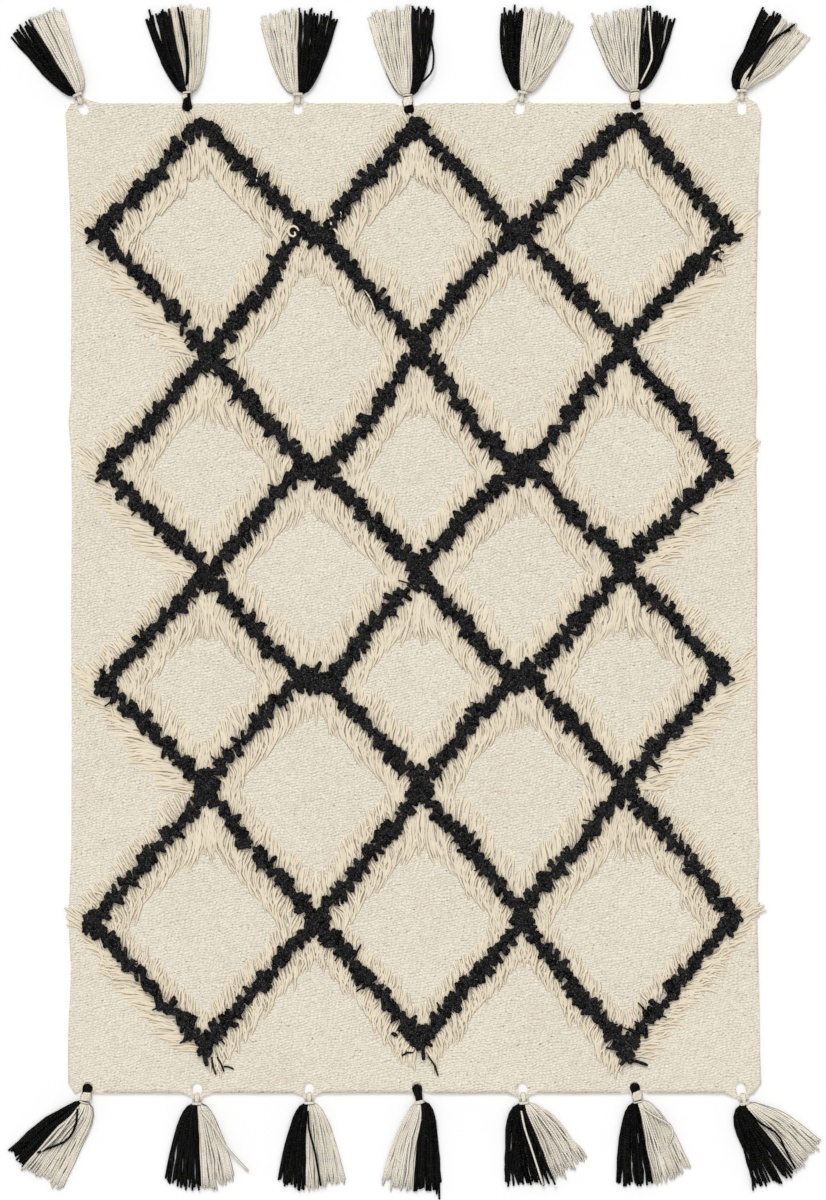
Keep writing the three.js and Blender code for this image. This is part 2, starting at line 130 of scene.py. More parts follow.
# Tassels: neck and eyelet places, the colour on the left and that of the loop, the compass
# bearings of the fan, its length and the share of it that the left colour takes
TASSELS = [
    dict(name="top_1", x=-587, y=880, eyelet=-572, left="black", loop="cream",
         start=-49, stop=-10, reach=154, share=0.42),
    dict(name="top_2", x=-395, y=883, eyelet=-395, left="black", loop="black",
         start=-30, stop=14, reach=150, share=0.43),
    dict(name="top_3", x=-202, y=881, eyelet=-202, left="cream", loop="cream",
         start=-27, stop=28, reach=147, share=0.5),
    dict(name="top_4", x=-10, y=878, eyelet=-7, left="cream", loop="black",
         start=-27, stop=18, reach=154, share=0.66),
    dict(name="top_5", x=191, y=884, eyelet=183, left="black", loop="cream",
         start=-15, stop=37, reach=145, share=0.3),
    dict(name="top_6", x=386, y=886, eyelet=389, left="cream", loop="black",
         start=-34, stop=30, reach=145, share=0.6),
    dict(name="top_7", x=573, y=887, eyelet=573, left="black", loop="cream",
         start=14, stop=54, reach=147, share=0.38),
    dict(name="bottom_1", x=-575, y=-880, eyelet=-566, left="cream", loop="black",
         start=194, stop=238, reach=154, share=0.67),
    dict(name="bottom_2", x=-378, y=-883, eyelet=-378, left="cream", loop="cream",
         start=153, stop=203, reach=147, share=0.48),
    dict(name="bottom_3", x=-182, y=-882, eyelet=-183, left="cream", loop="cream",
         start=155, stop=202, reach=148, share=0.58),
    dict(name="bottom_4", x=11, y=-881, eyelet=4, left="black", loop="black",
         start=165, stop=206, reach=155, share=0.47),
    dict(name="bottom_5", x=193, y=-882, eyelet=189, left="cream", loop="cream",
         start=131, stop=194, reach=143, share=0.45),
    dict(name="bottom_6", x=392, y=-879, eyelet=384, left="cream", loop="black",
         start=140, stop=196, reach=147, share=0.53),
    dict(name="bottom_7", x=579, y=-883, eyelet=568, left="cream", loop="cream",
         start=116, stop=173, reach=147, share=0.48),
]

# Yarns that lie apart from their tassel: which tassel, colour, places along the yarn, and
# its height at the start, a third of the way and at the tip
TASSEL_STRAYS = [
    ("top_1", "black", [(-612, 898), (-623, 930), (-642, 963), (-668, 996)], (13, 12, 6)),
    ("top_2", "black", [(-396, 895), (-394, 923), (-396, 958), (-411, 1031)], (12, 15.5, 9)),
    ("top_2", "black", [(-394, 898), (-392, 930), (-394, 965), (-404, 1024)], (12, 15, 9)),
    ("top_4", "black", [(1, 891), (18, 902), (34, 919), (36, 949), (29, 986)], (12, 10, 5)),
    ("top_5", "black", [(181, 895), (160, 919), (154, 954), (152, 987), (155, 1021)], (12, 4, 3)),
    ("top_5", "cream", [(203, 898), (234, 926), (255, 953), (276, 998)], (12, 8, 3)),
    ("top_6", "cream", [(376, 898), (347, 944), (326, 987), (312, 1022)], (12, 8, 3)),
    ("top_6", "cream", [(396, 898), (417, 940), (413, 979), (410, 1024)], (13, 15.5, 9)),
    ("top_7", "black", [(583, 902), (600, 937), (623, 970), (665, 1001)], (13, 15.5, 9)),
    ("top_7", "black", [(581, 905), (603, 949), (628, 979), (658, 991)], (13, 15, 9)),
    ("bottom_1", "black", [(-586, -890), (-588, -920), (-603, -946), (-656, -967)], (14, 15.5, 9)),
    ("bottom_1", "cream", [(-584, -887), (-598, -906), (-621, -938), (-649, -964)], (13, 15, 10)),
    ("bottom_2", "cream", [(-371, -894), (-350, -918), (-328, -957), (-289, -1000)], (12, 14, 3)),
    ("bottom_3", "black", [(-184, -894), (-183, -925), (-172, -964), (-162, -1025)], (13, 15.5, 9)),
    ("bottom_5", "cream", [(188, -894), (193, -922), (205, -957), (226, -1023)], (13, 15.5, 9)),
    ("bottom_5", "black", [(193, -894), (203, -925), (223, -967), (247, -1023)], (13, 15.5, 9)),
    ("bottom_5", "black", [(184, -894), (177, -929), (169, -981), (165, -1027)], (12, 10, 3)),
    (
        "bottom_6", "cream",
        [(401, -890), (425, -906), (446, -915), (455, -932), (445, -955)], (13, 14, 5),
    ),
    ("bottom_6", "black", [(392, -890), (396, -925), (406, -967), (411, -1018)], (13, 15.5, 9)),
    (
        "bottom_7", "black",
        [(584, -894), (600, -913), (637, -934), (647, -960), (666, -995)], (13, 15.5, 9),
    ),
    ("bottom_7", "black", [(579, -894), (583, -929), (588, -978), (593, -1034)], (12, 14, 3)),
]

# Single yarns on the rug: colour, places along the yarn, height and thickness
RUG_STRAYS = [
    ("cream", [(-265, 757), (-271, 745), (-273, 732), (-275, 722)], 13, 1.2),
    (
        "cream",
        [
            (-200, 641), (-204, 648), (-212, 650), (-219, 643),
            (-218, 634), (-210, 629), (-204, 633), (-207, 639),
        ],
        14, 2.2,
    ),
    ("cream", [(-133, 683), (-126, 671), (-127, 656)], 13, 1.4),
    ("cream", [(-148, 662), (-141, 648), (-130, 633)], 12, 2.4),
    ("cream", [(-85, 538), (-74, 521), (-67, 500)], 13, 1.6),
    ("cream", [(153, 654), (146, 634), (144, 614)], 13, 1.5),
    ("cream", [(502, 573), (495, 565), (492, 556)], 13, 1.5),
    ("cream", [(518, 598), (528, 605), (539, 608)], 12, 2.6),
    ("cream", [(326, 512), (322, 505), (317, 500)], 13, 1.5),
    ("black", [(-352, -801), (-350, -817), (-345, -831)], 6, 2.0),
    ("black", [(-343, -801), (-336, -812), (-331, -826)], 6, 1.8),
    ("black", [(-331, -817), (-322, -818), (-314, -822)], 6, 1.6),
    ("black", [(25, -798), (36, -814), (43, -834)], 6, 1.8),
    ("black", [(-20, -798), (-11, -793), (-1, -793)], 6, 2.0),
    ("black", [(-38, -759), (-34, -761), (-29, -763)], 8, 3.6),
    ("black", [(369, -807), (389, -808), (408, -815)], 7, 3.2),
]

# How the cord is wound round each tassel's neck: from, to, turns, half width, across,
# cord radius and slant. The plain way is for a cream loop.
BINDINGS = {
    "plain": [(-3.4, 0.4, 2, 9.0, 0, 1.6, 0.4)],
    "ball": [(-0.9, 0.4, 1, 8.6, 0, 1.4, 0.3), (-17.6, -4.0, 4, 10.8, -1.0, 2.9, 1.6)],
    "strap": [(-4.2, 0.4, 3, 9.0, 0, 1.6, 0.6)],
    "side": [(-1.2, 0.4, 2, 8.2, 0, 1.4, 0.8), (-9.5, -5.0, 2, 5.6, -4.4, 2.5, 2.2)],
}
BINDING_OF = {
    "top_2": "side", "top_4": "ball", "top_6": "ball",
    "bottom_1": "ball", "bottom_4": "strap", "bottom_6": "ball",
}

# The hank through the eyelet: yarns side by side, half its width, how far it reaches
# past the strip of hem, and the yarn's radius
HANKS = {"cream": (4, 3.2, 5.0, 1.5), "black": (8, 7.0, 13.0, 1.9)}

# How the cream pile is combed on each kind of side of the lattice: degrees from straight
# along the rug (or from straight outwards on a margin) towards the open middle of the
# diamond (or up the rug), at the arm's upper end, middle and lower end, where the yarn
# leaves its knot and at its tip; how long it is, how far from the lattice it stops, and
# how high its tip lies
COMBED = {
    "under": dict(root=(8, 26, 30), tip=(2, -36, -8), length=64, limit=45, tip_height=-0.5),
    "over": dict(root=(4, 14, 4), tip=(0, 14, 0), length=52, limit=60, tip_height=-1.25),
    "margin_under": dict(root=(58, 34, 26), tip=(34, -2, 6), length=84, limit=70, tip_height=-0.95),
    "margin_over": dict(root=(74, 62, 52), tip=(62, 46, 34), length=38, limit=60, tip_height=-1.5),
    "top_over": dict(root=(24, 20, 10), tip=(24, 16, 4), length=32, limit=50, tip_height=-1.5),
}

# Layers of cream pile from the ground up: how far the knots are from the lattice's middle,
# how high the yarns arch and their tips lie, how many there are on each side of an arm, and
# how long they are to the comb's length
CREAM_LAYERS = [
    dict(near=9, far=19, arch=0.9, rest=0.0, count=58, length=1.0),
    dict(near=4, far=10, arch=1.6, rest=0.4, count=52, length=0.92),
]

# Share of the yarns, and of their arch, on the sides that have less
SPARSE = {"margin_over": 0.75, "top_over": 0.6}
FLATTER = {"margin_over": 0.45, "top_over": 0.4, "margin_under": 0.7, "over": 0.7}

# Radius of a yarn of each kind
CREAM_YARN = 2.5
TUFT_YARN = 4.0
TASSEL_YARN = 2.25

YARNS_PER_TASSEL = 62

# Cross shape of a laid yarn: its height to its width
PILE_SQUASH = 0.32
TASSEL_SQUASH = 0.95
HANK_SQUASH = 0.65
CORD_SQUASH = 0.9

# Places along a yarn and how high it lies there, as a share of its arch for the pile and the
# tufts, and in millimetres for a tassel
PILE_ARCH = ((0, 0.2, 0.6, 1), (-0.4, 1.0, 0.9, 0.0))
TUFT_ARCH = ((0, 0.35, 0.7, 1), (0.5, 1.0, 0.95, 0.45))
TASSEL_ARCH = ((0, 0.03, 0.1, 0.24, 0.42, 1), (9, 12.5, 15.5, 15, 11.5, 6.5))

# Charcoal tufts: how many on an arm, the share that lies along it as a filler and how far
# that runs on, the length of a clump of tufts, their reach, and the share of thin spikes
TUFTS_PER_ARM = 195
FILLER_SHARE = 0.24
FILLER_REACH = 17
LOBE = 17
TUFT_REACH = 16.5
SPIKE_SHARE = 0.045

# Where an arm of the lattice lies: past this at the side edge, above this in the top row,
# and below this in the bottom row
SIDE_X = 500
TOP_Y = 780
BOTTOM_Y = -430

# Rows of crossings whose lower pile hangs longer, and how much
LONG_HANG_ROWS = (2, 4, 6)
LONG_HANG = 1.4

# Pile of the bottom row: its share of the length, and how far hanging tips stray, in degrees
LOW_LENGTH = 0.72
LOW_TANGLE = 14

# Pile of the top row: how much farther it hangs, and how much higher its tips lie
TOP_LIMIT = 1.35
TOP_TIP = 1.6

# Hanging pile swings round to run along its arm: places on the arm and how far it does so
# there, and the share of that in all rows but the top one
SWING = ((0.04, 0.26, 0.7, 1.0), (0.0, 1.0, 1.0, 0.3))
LOOSE_SWING = 0.6

# Short bars of tufts that join the arms at a crossing: from, to, how many tufts, and how
# long those are to an arm's. Then the bar of each row of crossings from the second one down.
BARS = {
    "across": ((-18, 0), (26, -1), 40, 0.6),
    "along": ((0, 12), (0, -18), 26, 0.8),
    "end": ((0, 8), (2, -18), 42, 0.9),
}
BAR_OF_ROW = ("across", "along", "across", "along", "across", "along", "along", "end")

# Rings of points along a yarn of each kind
PILE_RINGS = 6
TUFT_RINGS = 4
STRAY_RINGS = 10
TASSEL_RINGS = 10
LOOP_RINGS = 14
CORD_RINGS = 37

# No yarn dips lower than this above the floor
LEAST_HEIGHT = 0.05

# Waves of the combing along an arm, in millimetres to a radian
COMB_WAVES = (6.0, 13.0, 27.0)

# How far out the pile may reach, and how far by the row of crossings that bulges at the sides
SIDE_REACH = 600
WIDE_REACH = 611
WIDE_ROW_Y = -569
WIDE_ROW_SPAN = 300

# The camera: millimetres to a pixel, pixels in the frame's height and from the drawing's
# middle to the frame's, and how high it hangs
PIXEL = 1.7467
FRAME_PIXELS = 1200
OFF_MIDDLE = (-0.5, -1.75)
CAMERA_HEIGHT_M = 7.0

# The studio: how low its floor lies and how wide it is, the strength of the light from all
# round and of the lamp, and how soft and how slanted the lamp is
FLOOR_DROP_M = 0.0001
FLOOR_WIDTH_M = 30
ROUND_LIGHT = 0.74
LAMP_LIGHT = 1.32
LAMP_SOFTNESS = math.radians(24)
LAMP_SLANT = (math.radians(-46), math.radians(-14), 0)


def place_shift():
    """How far the drawing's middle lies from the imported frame's origin."""
    ground_low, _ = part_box("ground_cloth")
    _, pile_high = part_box("pile_cream")
    left, top = DRAWN_EDGES_M
    return np.array([ground_low[0] - left, pile_high[1] - top])


SHIFT = place_shift() / MM


def deselect():
    if bpy.context.object and bpy.context.object.mode != "OBJECT":
        bpy.ops.object.mode_set(mode="OBJECT")
    bpy.ops.object.select_all(action="DESELECT")


def pick_out(piece):
    deselect()
    piece.select_set(True)
    bpy.context.view_layer.objects.active = piece


def settle(piece):
    """Puts a piece's place and size into its own mesh."""
    pick_out(piece)
    bpy.ops.object.transform_apply(location=True, rotation=True, scale=True)


def remove(*pieces):
    for piece in pieces:
        bpy.data.objects.remove(piece, do_unlink=True)


def belongs(piece, slot, *nodes):
    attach(piece, "root")
    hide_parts(*nodes)
    return piece


def length_of(vectors):
    return np.linalg.norm(vectors, axis=-1, keepdims=True)


# Finishes


class Finish:
    """A material under construction, with short ways to add and join its nodes."""

    def __init__(self, name, roughness, sheen=0.0, gloss=0.12):
        self.material = bpy.data.materials.new(name)
        self.material.use_nodes = True
        self.tree = self.material.node_tree
        self.shader = self.tree.nodes["Principled BSDF"]
        settings = {
            "Roughness": roughness,
            "Specular IOR Level": gloss,
            "Sheen Weight": sheen,
            "Sheen Roughness": 0.6,
        }
        for key, value in settings.items():
            self.shader.inputs[key].default_value = value

    def add(self, kind, inputs=(), **settings):
        node = self.tree.nodes.new(kind)
        for key, value in settings.items():
            setattr(node, key, value)
        for key, value in dict(inputs).items():
            if isinstance(value, bpy.types.NodeSocket):
                self.tree.links.new(value, node.inputs[key])
            else:
                node.inputs[key].default_value = value
        return node

    def place(self):
        return self.add("ShaderNodeTexCoord").outputs["Object"]

    def own(self, attribute):
        return self.add("ShaderNodeAttribute", attribute_name=attribute, attribute_type="GEOMETRY")

    def sum(self, operation, first, second=0.0, third=0.0):
        node = self.add("ShaderNodeMath", {0: first, 1: second, 2: third}, operation=operation)
        return node.outputs[0]

    def vector_sum(self, operation, first, second):
        node = self.add("ShaderNodeVectorMath", {0: first, 1: second}, operation=operation)
        return node.outputs[0]

    def blend(self, factor, first, second):
        node = self.add("ShaderNodeMix", {0: factor, 6: first, 7: second}, data_type="RGBA")
        return node.outputs[2]

    def partly(self, share, factor, first, second):
        """The second colour over the first, at most by a share."""
        return self.blend(self.sum("MULTIPLY", factor, share), first, second)

    def ramp(self, value, low, high):
        return self.add("ShaderNodeMapRange", {0: value, 1: low, 2: high}).outputs[0]

    def noise(self, vector, scale, detail=2.0, output=0):
        inputs = {"Vector": vector, "Scale": scale, "Detail": detail}
        return self.add("ShaderNodeTexNoise", inputs).outputs[output]

    def done(self, colour, relief=None, strength=0.0, depth=0.0):
        self.tree.links.new(colour, self.shader.inputs["Base Color"])
        if relief is not None:
            inputs = {"Height": relief, "Strength": strength, "Distance": depth}
            raised = self.add("ShaderNodeBump", inputs).outputs[0]
            self.tree.links.new(raised, self.shader.inputs["Normal"])
        return self.material


def tone(*printed):
    """A colour as it looks in print, red, green and blue from 0 to 255, for a shader."""
    parts = [value / 255 for value in printed]
    return [
        part / 12.92 if part <= 0.04045 else ((part + 0.055) / 1.055) ** 2.4 for part in parts
    ] + [1.0]


def flat_weave():
    """The ground: slanting rows of small weft floats, with painted shade between them, a painted
    highlight on their crowns, and dark flecks between some.
    """
    finish = Finish("flat_weave", roughness=0.92, sheen=0.08)
    place = finish.place()
    drift = finish.noise(place, 34.0, 5.0, output="Color")
    wandering = finish.vector_sum("MULTIPLY", drift, (0.016, 0.02, 0.0))
    shifted = finish.vector_sum("ADD", place, wandering)
    slant = (0, 0, math.radians(-18))
    laid_weft = finish.add(
        "ShaderNodeMapping", {"Vector": shifted, "Rotation": slant, "Scale": (430, 690, 1)}
    )
    thread = finish.add("ShaderNodeSeparateXYZ", {0: laid_weft.outputs[0]})
    row = finish.sum("FLOOR", finish.sum("DIVIDE", thread.outputs[1], math.pi))
    step = finish.sum("MULTIPLY_ADD", row, math.pi / 2, thread.outputs[0])
    bead = finish.sum("ABSOLUTE", finish.sum("SINE", step))
    rib = finish.sum("ABSOLUTE", finish.sum("SINE", thread.outputs[1]))
    floats = finish.sum("MULTIPLY", finish.sum("POWER", bead, 0.25), finish.sum("POWER", rib, 0.6))
    uneven = finish.sum("MULTIPLY", finish.noise(place, 360.0), 0.7)
    crowns = finish.sum("MULTIPLY_ADD", floats, 0.34, uneven)
    patches = finish.ramp(finish.noise(place, 5.0, 3.0), 0.35, 0.65)
    wool = finish.blend(patches, tone(218, 209, 189), tone(225, 217, 199))
    mottle = finish.ramp(finish.noise(place, 70.0), 0.3, 0.75)
    wool = finish.blend(mottle, wool, tone(226, 218, 201))
    # Painted shade in the low gaps between the floats
    wool = finish.partly(0.72, finish.ramp(crowns, 0.5, 0.3), wool, tone(156, 141, 112))
    # Painted highlight on the floats' crowns
    wool = finish.partly(0.6, finish.ramp(crowns, 0.58, 0.74), wool, tone(254, 249, 237))
    spots = finish.ramp(finish.noise(place, 160.0, 1.0), 0.66, 0.73)
    flecks = finish.sum("MULTIPLY", spots, finish.ramp(crowns, 0.55, 0.4))
    wool = finish.partly(0.75, flecks, wool, tone(110, 98, 78))
    fibre = finish.sum("MULTIPLY", finish.noise(place, 900.0, 3.0), 0.2)
    return finish.done(wool, finish.sum("ADD", crowns, fibre), strength=0.4, depth=0.001)


def spun_wool(
    name, light, dark, painted_shade, painted_shade_share, painted_shade_from, painted_shade_to, ply_shade_share, ply_turns, strength,
    sheen=0.1, gloss=0.12, fleck=None, fleck_share=0.0,
):
    """Plied yarn: a tone for each yarn, lighter slubs along it, painted shade down its sides, the
    ply's slanting turns with painted shade in their grooves, and small flecks where the wool has
    them."""
    light, dark, painted_shade = tone(*light), tone(*dark), tone(*painted_shade)
    finish = Finish(name, roughness=0.9, sheen=sheen, gloss=gloss)
    parts = finish.add("ShaderNodeSeparateXYZ", {0: finish.own("lie").outputs["Vector"]})
    across, along = parts.outputs[0], parts.outputs[2]
    height = finish.sum("ABSOLUTE", parts.outputs[1])
    dye = finish.own("dye").outputs["Fac"]
    place = finish.place()
    slant = finish.sum("MULTIPLY_ADD", dye, 40.0, finish.sum("MULTIPLY", across, 3.2))
    turns = finish.sum("SINE", finish.sum("MULTIPLY_ADD", along, ply_turns, slant))
    slubs = finish.noise(place, 230.0)
    shade = finish.sum("MULTIPLY_ADD", slubs, 0.6, finish.sum("MULTIPLY", dye, 0.6))
    wool = finish.blend(finish.ramp(shade, 0.2, 0.95), dark, light)
    # Painted shade down each yarn's sides, where shade falls between the yarns, stronger on some
    # yarns than on others
    shade_strength = finish.sum("MULTIPLY_ADD", dye, 0.5, finish.noise(place, 45.0))
    low = finish.ramp(height, painted_shade_from, painted_shade_to)
    low = finish.sum("MULTIPLY", low, finish.ramp(shade_strength, 0.4, 0.9))
    wool = finish.partly(painted_shade_share, low, wool, painted_shade)
    # Painted shade in the grooves between the ply's turns
    wool = finish.partly(ply_shade_share, finish.ramp(turns, 0.1, -1.0), wool, painted_shade)
    if fleck:
        spots = finish.ramp(finish.noise(place, 440.0, 1.0), 0.58, 0.68)
        wool = finish.partly(fleck_share, spots, wool, tone(*fleck))
    relief = finish.sum("MULTIPLY_ADD", turns, 0.5, finish.noise(place, 620.0, 3.0))
    return finish.done(wool, relief, strength, depth=0.0008)


# In each wool, the colour given after light and dark is painted shade, laid down the sides of its
# yarns and in the grooves of their ply
FINISHES = {
    "weave": flat_weave(),
    "pile": spun_wool(
        "cream_pile_wool", light=(244, 233, 210), dark=(232, 220, 196), painted_shade=(196, 146, 76),
        painted_shade_share=0.88, painted_shade_from=0.38, painted_shade_to=0.0, ply_shade_share=0.06, ply_turns=1900, strength=0.4,
    ),
    "tuft": spun_wool(
        "charcoal_pile_wool", light=(54, 53, 54), dark=(1, 1, 2), painted_shade=(3, 3, 3),
        painted_shade_share=0.3, painted_shade_from=0.3, painted_shade_to=0.0, ply_shade_share=0.0, ply_turns=1900, strength=2.2,
        sheen=0.0, gloss=0.02, fleck=(125, 124, 122), fleck_share=0.6,
    ),
    "cream": spun_wool(
        "cream_tassel_yarn", light=(255, 250, 237), dark=(232, 222, 202), painted_shade=(60, 47, 30),
        painted_shade_share=1.0, painted_shade_from=0.78, painted_shade_to=0.3, ply_shade_share=0.13, ply_turns=1300, strength=0.7,
        fleck=(168, 150, 120), fleck_share=0.5,
    ),
    "black": spun_wool(
        "charcoal_tassel_yarn", light=(36, 35, 34), dark=(1, 1, 1), painted_shade=(1, 1, 1),
        painted_shade_share=0.8, painted_shade_from=0.7, painted_shade_to=0.0, ply_shade_share=0.85, ply_turns=1300, strength=1.3,
        sheen=0.0, gloss=0.02, fleck=(84, 83, 81), fleck_share=0.3,
    ),
}
SLOTS = {"cream": "wool_cream", "black": "wool_charcoal"}


# Yarns


def cut_yarn(sides, rings, blunt=0.72):
    """One straight cut yarn, a unit long and a unit in radius, with rounded ends."""
    deselect()
    bpy.ops.mesh.primitive_cylinder_add(
        vertices=sides, radius=1, depth=1, location=(0, 0, 0.5), rotation=(0, 0, math.pi / 2),
        end_fill_type="TRIFAN",
    )
    yarn = bpy.context.object
    settle(yarn)
    bpy.ops.object.mode_set(mode="EDIT")
    bpy.ops.mesh.select_all(action="DESELECT")
    shape = bmesh.from_edit_mesh(yarn.data)
    for edge in shape.edges:
        edge.select_set(abs(edge.verts[0].co.z - edge.verts[1].co.z) > 0.5)
    bpy.ops.mesh.subdivide(number_cuts=rings - 2)
    shape = bmesh.from_edit_mesh(yarn.data)
    for vertex in shape.verts:
        if math.hypot(vertex.co.x, vertex.co.y) < 0.1:
            vertex.co.z += 0.5 if vertex.co.z > 0.5 else -0.5
        elif not 0.01 < vertex.co.z < 0.99:
            vertex.co.x *= blunt
            vertex.co.y *= blunt
    bmesh.update_edit_mesh(yarn.data)
    bpy.ops.object.mode_set(mode="OBJECT")
    return yarn


def bent_copies(shape, ring, paths, radius, squash):
    """The cut yarn's points on each path, and how far along the path each point lies."""
    beyond = shape[:, 2] - np.clip(shape[:, 2], 0, 1)
    heading = np.gradient(paths, axis=1)
    heading /= length_of(heading) + 1e-9
    aside = np.cross(heading, np.array([0.0, 0.0, 1.0]))
    aside /= length_of(aside) + 1e-9
    above = np.cross(aside, heading)
    radius = np.broadcast_to(np.asarray(radius, float).reshape(-1, 1, 1), (len(paths), 1, 1))
    points = (
        paths[:, ring]
        + aside[:, ring] * (shape[:, 0, None] * radius)
        + above[:, ring] * (shape[:, 1, None] * radius * squash)
        + heading[:, ring] * (beyond[:, None] * radius)
    )
    points[..., 2] = np.maximum(points[..., 2], LEAST_HEIGHT)
    step = np.linalg.norm(np.diff(paths, axis=1), axis=2)
    reached = np.concatenate([np.zeros((len(paths), 1)), np.cumsum(step, axis=1)], axis=1)
    return points, reached[:, ring]


def laid_yarns(name, finish, yarn, paths, radius, squash=0.85):
    """Copies of one cut yarn, bent along their own paths, joined in one piece. paths holds
    a row of points for each yarn, in millimetres, one for each ring of the cut yarn."""
    data = yarn.data
    shape = np.array([vertex.co for vertex in data.vertices])
    ring = np.rint(np.clip(shape[:, 2], 0, 1) * (paths.shape[1] - 1)).astype(int)
    points, reached = bent_copies(shape, ring, paths, radius, squash)
    count, corners = points.shape[:2]
    loops = np.array([loop.vertex_index for loop in data.loops])
    starts = np.array([face.loop_start for face in data.polygons])
    order = np.arange(count)[:, None]
    mesh = bpy.data.meshes.new(name)
    mesh.vertices.add(count * corners)
    mesh.vertices.foreach_set("co", (points * MM).ravel())
    mesh.loops.add(count * len(loops))
    mesh.loops.foreach_set("vertex_index", (loops + corners * order).ravel())
    mesh.polygons.add(count * len(starts))
    mesh.polygons.foreach_set("loop_start", (starts + len(loops) * order).ravel())
    mesh.polygons.foreach_set("use_smooth", np.ones(count * len(starts), bool))
    mesh.update(calc_edges=True)
    around = [np.broadcast_to(shape[:, axis], (count, corners)) for axis in (0, 1)]
    lie = np.stack([*around, reached * MM], axis=2)
    mesh.attributes.new("lie", "FLOAT_VECTOR", "POINT").data.foreach_set("vector", lie.ravel())
    dye = np.repeat(rng.random(count), corners)
    mesh.attributes.new("dye", "FLOAT", "POINT").data.foreach_set("value", dye)
    mesh.materials.append(FINISHES[finish])
    piece = bpy.data.objects.new(name, mesh)
    bpy.context.scene.collection.objects.link(piece)
    return piece


def raised(plan, height):
    """Places on the plan with a height for each."""
    return np.concatenate([plan, height[..., None]], axis=-1)


def drawn(places, rings):
    """A smooth line through some places, cut into as many points as a yarn has rings."""
    points = 60
    rounds = 24
    places = np.array(places, float)
    step = np.linalg.norm(np.diff(places, axis=0), axis=1)
    reached = np.concatenate([[0], np.cumsum(step)])
    fine = np.linspace(0, reached[-1], points)
    line = np.stack([np.interp(fine, reached, column) for column in places.T], axis=1)
    for _ in range(rounds):
        line[1:-1] = (line[:-2] + 2 * line[1:-1] + line[2:]) / 4
    return line[np.linspace(0, points - 1, rings).round().astype(int)]


# Ground


def ground_cutter():
    """The outline and eyelets of the ground's solid, stretched well past its faces."""
    solid = bpy.data.objects["ground_cloth"]
    cutter = bpy.data.objects.new("ground_outline", solid.data.copy())
    bpy.context.scene.collection.objects.link(cutter)
    pick_out(cutter)
    bpy.ops.object.mode_set(mode="EDIT")
    bpy.ops.mesh.select_all(action="SELECT")
    bpy.ops.mesh.remove_doubles(threshold=0.00001)
    shape = bmesh.from_edit_mesh(cutter.data)
    for vertex in shape.verts:
        if vertex.co.z > UNDER_TOP_M:
            vertex.co.z = CUTTER_REACH_M
        elif vertex.co.z < OVER_FLOOR_M:
            vertex.co.z = -CUTTER_REACH_M
    bmesh.update_edit_mesh(cutter.data)
    bpy.ops.object.mode_set(mode="OBJECT")
    return cutter


def cloth_blank():
    """A plain slab of cloth on a fine grid, larger than the rug."""
    deselect()
    across, along = BLANK_CELLS
    bpy.ops.mesh.primitive_grid_add(x_subdivisions=across, y_subdivisions=along, size=1)
    cloth = bpy.context.object
    cloth.name = cloth.data.name = "ground_weave"
    cloth.scale = (*BLANK_M, 1)
    cloth.location = (0, 0, CLOTH * MM)
    settle(cloth)
    bpy.ops.object.mode_set(mode="EDIT")
    bpy.ops.mesh.select_all(action="DESELECT")
    shape = bmesh.from_edit_mesh(cloth.data)
    for edge in shape.edges:
        edge.select_set(edge.is_boundary)
    bpy.ops.mesh.extrude_edges_move(TRANSFORM_OT_translate={"value": (0, 0, -CLOTH * MM)})
    bpy.ops.mesh.edge_face_add()
    bpy.ops.mesh.select_all(action="SELECT")
    bpy.ops.mesh.normals_make_consistent(inside=False)
    bpy.ops.object.mode_set(mode="OBJECT")
    return cloth


def ease_cloth(cloth):
    """The weave lies a little unevenly: low broad swells over its whole top."""
    data = cloth.data
    points = np.empty(len(data.vertices) * 3)
    data.vertices.foreach_get("co", points)
    points = points.reshape(-1, 3)
    top = points[:, 2] > UNDER_TOP_M
    swell = np.zeros(len(points))
    for _ in range(SWELLS):
        bearing, size = rng.uniform(0, math.pi), rng.uniform(*SWELL_CLOSENESS)
        wave = points[:, 0] * math.cos(bearing) + points[:, 1] * math.sin(bearing)
        swell += np.sin(wave * size + rng.uniform(0, FULL_TURN))
    points[:, 2] += np.where(top, SWELL_HEIGHT_M * swell, 0.0)
    data.vertices.foreach_set("co", points.ravel())
    data.update()


def woven_ground():
    """The ground sheet: a fine grid of cloth, cut to the outline and eyelets of its solid."""
    cutter = ground_cutter()
    cloth = cloth_blank()
    cut = cloth.modifiers.new("outline", "BOOLEAN")
    cut.operation = "INTERSECT"
    cut.solver = "EXACT"
    cut.object = cutter
    pick_out(cloth)
    bpy.ops.object.modifier_apply(modifier=cut.name)
    remove(cutter)
    ease_cloth(cloth)
    cloth.data.materials.clear()
    cloth.data.materials.append(FINISHES["weave"])
    pick_out(cloth)
    bpy.ops.object.shade_smooth_by_angle(angle=math.radians(50))
    return belongs(cloth, "wool_ground", "ground_cloth")


# Pile


def lattice_arms():
    """Upper and lower end and bows of each arm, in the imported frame's millimetres, and how
    much longer the pile hangs below its upper end."""
    arms = []
    for row, (upper, lower, bows) in enumerate(zip(LATTICE_ROWS, LATTICE_ROWS[1:], ARM_BOWS)):
        reaches = (-1, 0) if len(upper["x"]) > len(lower["x"]) else (0, 1)
        ends = [
            (k, k + reach)
            for k in range(len(upper["x"]))
            for reach in reaches
            if 0 <= k + reach < len(lower["x"])
        ]
        for (k, j), bow in zip(ends, bows):
            start = np.array([upper["x"][k], upper["y"][k]], float) + SHIFT
            stop = np.array([lower["x"][j], lower["y"][j]], float) + SHIFT
            hang = LONG_HANG if row in LONG_HANG_ROWS else 1.0
            arms.append(dict(start=start, stop=stop, bow=bow, hang=hang))
    return arms


